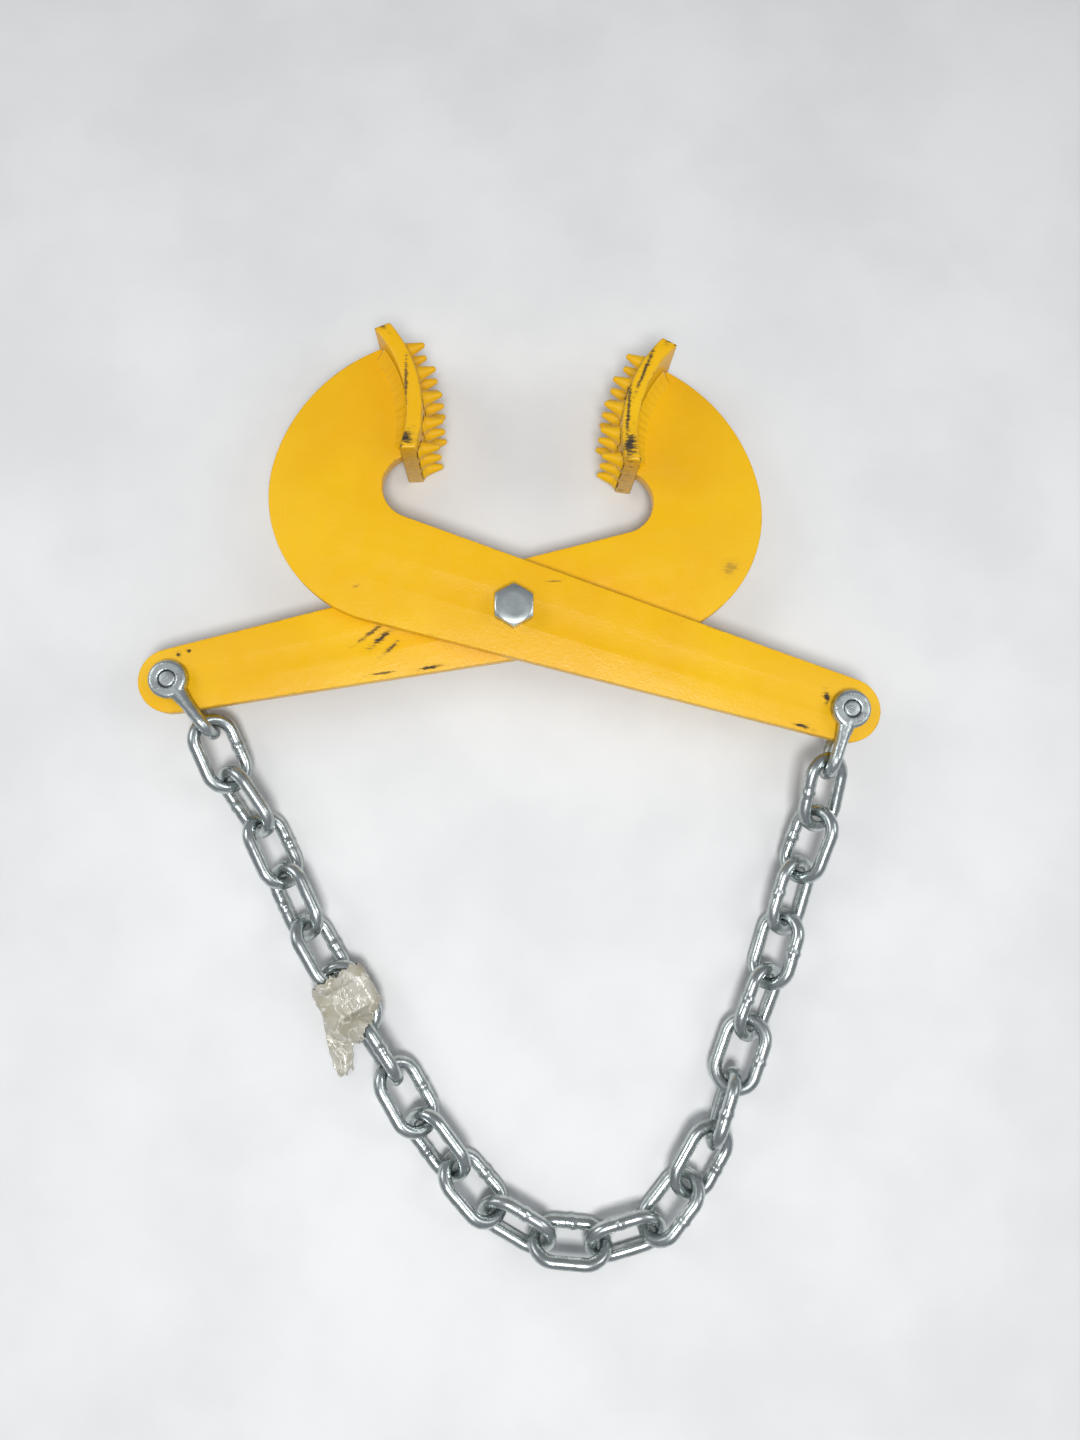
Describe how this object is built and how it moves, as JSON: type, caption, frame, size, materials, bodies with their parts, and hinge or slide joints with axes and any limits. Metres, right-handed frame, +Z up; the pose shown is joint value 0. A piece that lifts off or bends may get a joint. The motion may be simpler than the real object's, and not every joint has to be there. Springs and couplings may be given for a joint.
{
  "type": "pallet puller",
  "caption": "Scissor-action pallet puller with two crossed yellow arms, toothed jaw plates, a pivot bolt, shackles and a closed loop of welded chain.",
  "frame": {"origin": "middle of the floor area that the tool covers as it lies, at floor level", "axes": "+Z up from the floor, +Y towards the jaws, along the tool, +X to the right as seen from above with the jaws at the far end"},
  "size_m": [0.5622, 0.6942, 0.08],
  "materials": {
    "yellow_paint": "semi-gloss enamel, chipped to dark steel on its edges",
    "zinc_plate": "bright zinc plate",
    "galvanised": "zinc plated, forged or drawn, with uneven streaks",
    "tape_film": "crumpled packing tape"
  },
  "bodies": {
    "pivot": {"pivot_bolt": "zinc_plate", "pivot_washer": "zinc_plate", "pivot_nut": "zinc_plate"},
    "upper": {"upper_arm": "yellow_paint", "left_jaw_plate": "yellow_paint", "left_jaw_weld_outer": "yellow_paint", "left_jaw_weld_inner": "yellow_paint"},
    "lower": {"lower_arm": "yellow_paint", "right_jaw_plate": "yellow_paint", "right_jaw_weld_outer": "yellow_paint", "right_jaw_weld_inner": "yellow_paint"},
    "left_bow": {"left_shackle": "galvanised", "left_shackle_pin": "galvanised"},
    "right_bow": {"right_shackle": "galvanised", "right_shackle_pin": "galvanised"},
    "link_01": {"chain_link_01": "galvanised"},
    "link_02": {"chain_link_02": "galvanised"},
    "link_03": {"chain_link_03": "galvanised"},
    "link_04": {"chain_link_04": "galvanised"},
    "link_05": {"chain_link_05": "galvanised"},
    "link_06": {"chain_link_06": "galvanised", "tape_wrap": "tape_film"},
    "link_07": {"chain_link_07": "galvanised"},
    "link_08": {"chain_link_08": "galvanised"},
    "link_09": {"chain_link_09": "galvanised"},
    "link_10": {"chain_link_10": "galvanised"},
    "link_11": {"chain_link_11": "galvanised"},
    "link_12": {"chain_link_12": "galvanised"},
    "link_13": {"chain_link_13": "galvanised"},
    "link_14": {"chain_link_14": "galvanised"},
    "link_15": {"chain_link_15": "galvanised"},
    "link_16": {"chain_link_16": "galvanised"},
    "link_17": {"chain_link_17": "galvanised"},
    "link_18": {"chain_link_18": "galvanised"},
    "link_19": {"chain_link_19": "galvanised"},
    "link_20": {"chain_link_20": "galvanised"},
    "link_21": {"chain_link_21": "galvanised"},
    "link_22": {"chain_link_22": "galvanised"}
  },
  "joints": [
    {"name": "arms_open", "type": "hinge", "parent": "pivot", "child": "upper", "pos_m": [0, 0.14017, 0.0462], "axis": [0, 0, 1], "range_deg": [-16, 12]},
    {"name": "lower_arm_turn", "type": "hinge", "parent": "pivot", "child": "lower", "pos_m": [0, 0.14017, 0.0338], "axis": [0, 0, 1], "range_deg": [-12.01, 16.01]},
    {"name": "left_shackle_turn", "type": "hinge", "parent": "lower", "child": "left_bow", "pos_m": [-0.25662, 0.07405, 0.0338], "axis": [0, 0, 1], "range_deg": [-4.69, 6.25]},
    {"name": "right_shackle_turn", "type": "hinge", "parent": "upper", "child": "right_bow", "pos_m": [0.25662, 0.07405, 0.0462], "axis": [0, 0, 1], "range_deg": [-26.65, 35.53]},
    {"name": "link_01_turn", "type": "hinge", "parent": "left_bow", "child": "link_01", "pos_m": [-0.22733, 0.03988, 0.0301], "axis": [0, 0, 1], "range_deg": [-1.21, 1.61]},
    {"name": "link_02_turn", "type": "hinge", "parent": "link_01", "child": "link_02", "pos_m": [-0.21012, 0.00289, 0.02375], "axis": [0, 0, 1], "range_deg": [-1.45, 1.09]},
    {"name": "link_03_turn", "type": "hinge", "parent": "link_02", "child": "link_03", "pos_m": [-0.18548, -0.03107, 0.01946], "axis": [0, 0, 1], "range_deg": [-3.53, 2.65]},
    {"name": "link_04_turn", "type": "hinge", "parent": "link_03", "child": "link_04", "pos_m": [-0.16534, -0.06901, 0.01775], "axis": [0, 0, 1], "range_deg": [-6.25, 4.69]},
    {"name": "link_05_turn", "type": "hinge", "parent": "link_04", "child": "link_05", "pos_m": [-0.14548, -0.10641, 0.01904], "axis": [0, 0, 1], "range_deg": [-6.57, 4.93]},
    {"name": "link_06_turn", "type": "hinge", "parent": "link_05", "child": "link_06", "pos_m": [-0.12213, -0.1424, 0.01977], "axis": [0, 0, 1], "range_deg": [-3.05, 2.29]},
    {"name": "link_07_turn", "type": "hinge", "parent": "link_06", "child": "link_07", "pos_m": [-0.09956, -0.17717, 0.0205], "axis": [0, 0, 1], "range_deg": [-2.73, 2.05]},
    {"name": "link_08_turn", "type": "hinge", "parent": "link_07", "child": "link_08", "pos_m": [-0.07503, -0.21095, 0.0205], "axis": [0, 0, 1], "range_deg": [-8.65, 6.49]},
    {"name": "link_09_turn", "type": "hinge", "parent": "link_08", "child": "link_09", "pos_m": [-0.0517, -0.24689, 0.0185], "axis": [0, 0, 1], "range_deg": [-6.41, 4.81]},
    {"name": "link_10_turn", "type": "hinge", "parent": "link_09", "child": "link_10", "pos_m": [-0.0249, -0.27884, 0.0165], "axis": [0, 0, 1], "range_deg": [-4.65, 3.49]},
    {"name": "link_11_turn", "type": "hinge", "parent": "link_10", "child": "link_11", "pos_m": [0.00442, -0.30919, 0.01495], "axis": [0, 0, 1], "range_deg": [-1.93, 1.45]},
    {"name": "link_22_turn", "type": "hinge", "parent": "right_bow", "child": "link_22", "pos_m": [0.24453, 0.03189, 0.0425], "axis": [0, 0, 1], "range_deg": [-1.09, 1.45]},
    {"name": "link_21_turn", "type": "hinge", "parent": "link_22", "child": "link_21", "pos_m": [0.24039, -0.00792, 0.03135], "axis": [0, 0, 1], "range_deg": [-1.09, 1.45]},
    {"name": "link_20_turn", "type": "hinge", "parent": "link_21", "child": "link_20", "pos_m": [0.22903, -0.04769, 0.02229], "axis": [0, 0, 1], "range_deg": [-1.61, 1.21]},
    {"name": "link_19_turn", "type": "hinge", "parent": "link_20", "child": "link_19", "pos_m": [0.21895, -0.08829, 0.01749], "axis": [0, 0, 1], "range_deg": [-1.61, 1.21]},
    {"name": "link_18_turn", "type": "hinge", "parent": "link_19", "child": "link_18", "pos_m": [0.20775, -0.13019, 0.01663], "axis": [0, 0, 1], "range_deg": [-3.37, 2.53]},
    {"name": "link_17_turn", "type": "hinge", "parent": "link_18", "child": "link_17", "pos_m": [0.19369, -0.16892, 0.01724], "axis": [0, 0, 1], "range_deg": [-6.57, 4.93]},
    {"name": "link_16_turn", "type": "hinge", "parent": "link_17", "child": "link_16", "pos_m": [0.18103, -0.20797, 0.01924], "axis": [0, 0, 1], "range_deg": [-11.37, 8.53]},
    {"name": "link_15_turn", "type": "hinge", "parent": "link_16", "child": "link_15", "pos_m": [0.16927, -0.24907, 0.01924], "axis": [0, 0, 1], "range_deg": [-6.25, 4.69]},
    {"name": "link_14_turn", "type": "hinge", "parent": "link_15", "child": "link_14", "pos_m": [0.15018, -0.28501, 0.01764], "axis": [0, 0, 1], "range_deg": [-3.05, 2.29]},
    {"name": "link_13_turn", "type": "hinge", "parent": "link_14", "child": "link_13", "pos_m": [0.1251, -0.31833, 0.01603], "axis": [0, 0, 1], "range_deg": [-2.25, 1.69]},
    {"name": "link_12_turn", "type": "hinge", "parent": "link_13", "child": "link_12", "pos_m": [0.08449, -0.33153, 0.01547], "axis": [0, 0, 1], "range_deg": [-5.13, 3.85]}
  ],
  "couplings": [
    {"joint": "lower_arm_turn", "follows": "arms_open", "ratio": -1},
    {"joint": "left_shackle_turn", "follows": "arms_open", "ratio": -0.39},
    {"joint": "right_shackle_turn", "follows": "arms_open", "ratio": -2.22},
    {"joint": "link_01_turn", "follows": "arms_open", "ratio": -0.1},
    {"joint": "link_02_turn", "follows": "arms_open", "ratio": 0.09},
    {"joint": "link_03_turn", "follows": "arms_open", "ratio": 0.22},
    {"joint": "link_04_turn", "follows": "arms_open", "ratio": 0.39},
    {"joint": "link_05_turn", "follows": "arms_open", "ratio": 0.41},
    {"joint": "link_06_turn", "follows": "arms_open", "ratio": 0.19},
    {"joint": "link_07_turn", "follows": "arms_open", "ratio": 0.17},
    {"joint": "link_08_turn", "follows": "arms_open", "ratio": 0.54},
    {"joint": "link_09_turn", "follows": "arms_open", "ratio": 0.4},
    {"joint": "link_10_turn", "follows": "arms_open", "ratio": 0.29},
    {"joint": "link_11_turn", "follows": "arms_open", "ratio": 0.12},
    {"joint": "link_22_turn", "follows": "arms_open", "ratio": -0.09},
    {"joint": "link_21_turn", "follows": "arms_open", "ratio": -0.09},
    {"joint": "link_20_turn", "follows": "arms_open", "ratio": 0.1},
    {"joint": "link_19_turn", "follows": "arms_open", "ratio": 0.1},
    {"joint": "link_18_turn", "follows": "arms_open", "ratio": 0.21},
    {"joint": "link_17_turn", "follows": "arms_open", "ratio": 0.41},
    {"joint": "link_16_turn", "follows": "arms_open", "ratio": 0.71},
    {"joint": "link_15_turn", "follows": "arms_open", "ratio": 0.39},
    {"joint": "link_14_turn", "follows": "arms_open", "ratio": 0.19},
    {"joint": "link_13_turn", "follows": "arms_open", "ratio": 0.14},
    {"joint": "link_12_turn", "follows": "arms_open", "ratio": 0.32}
  ]
}
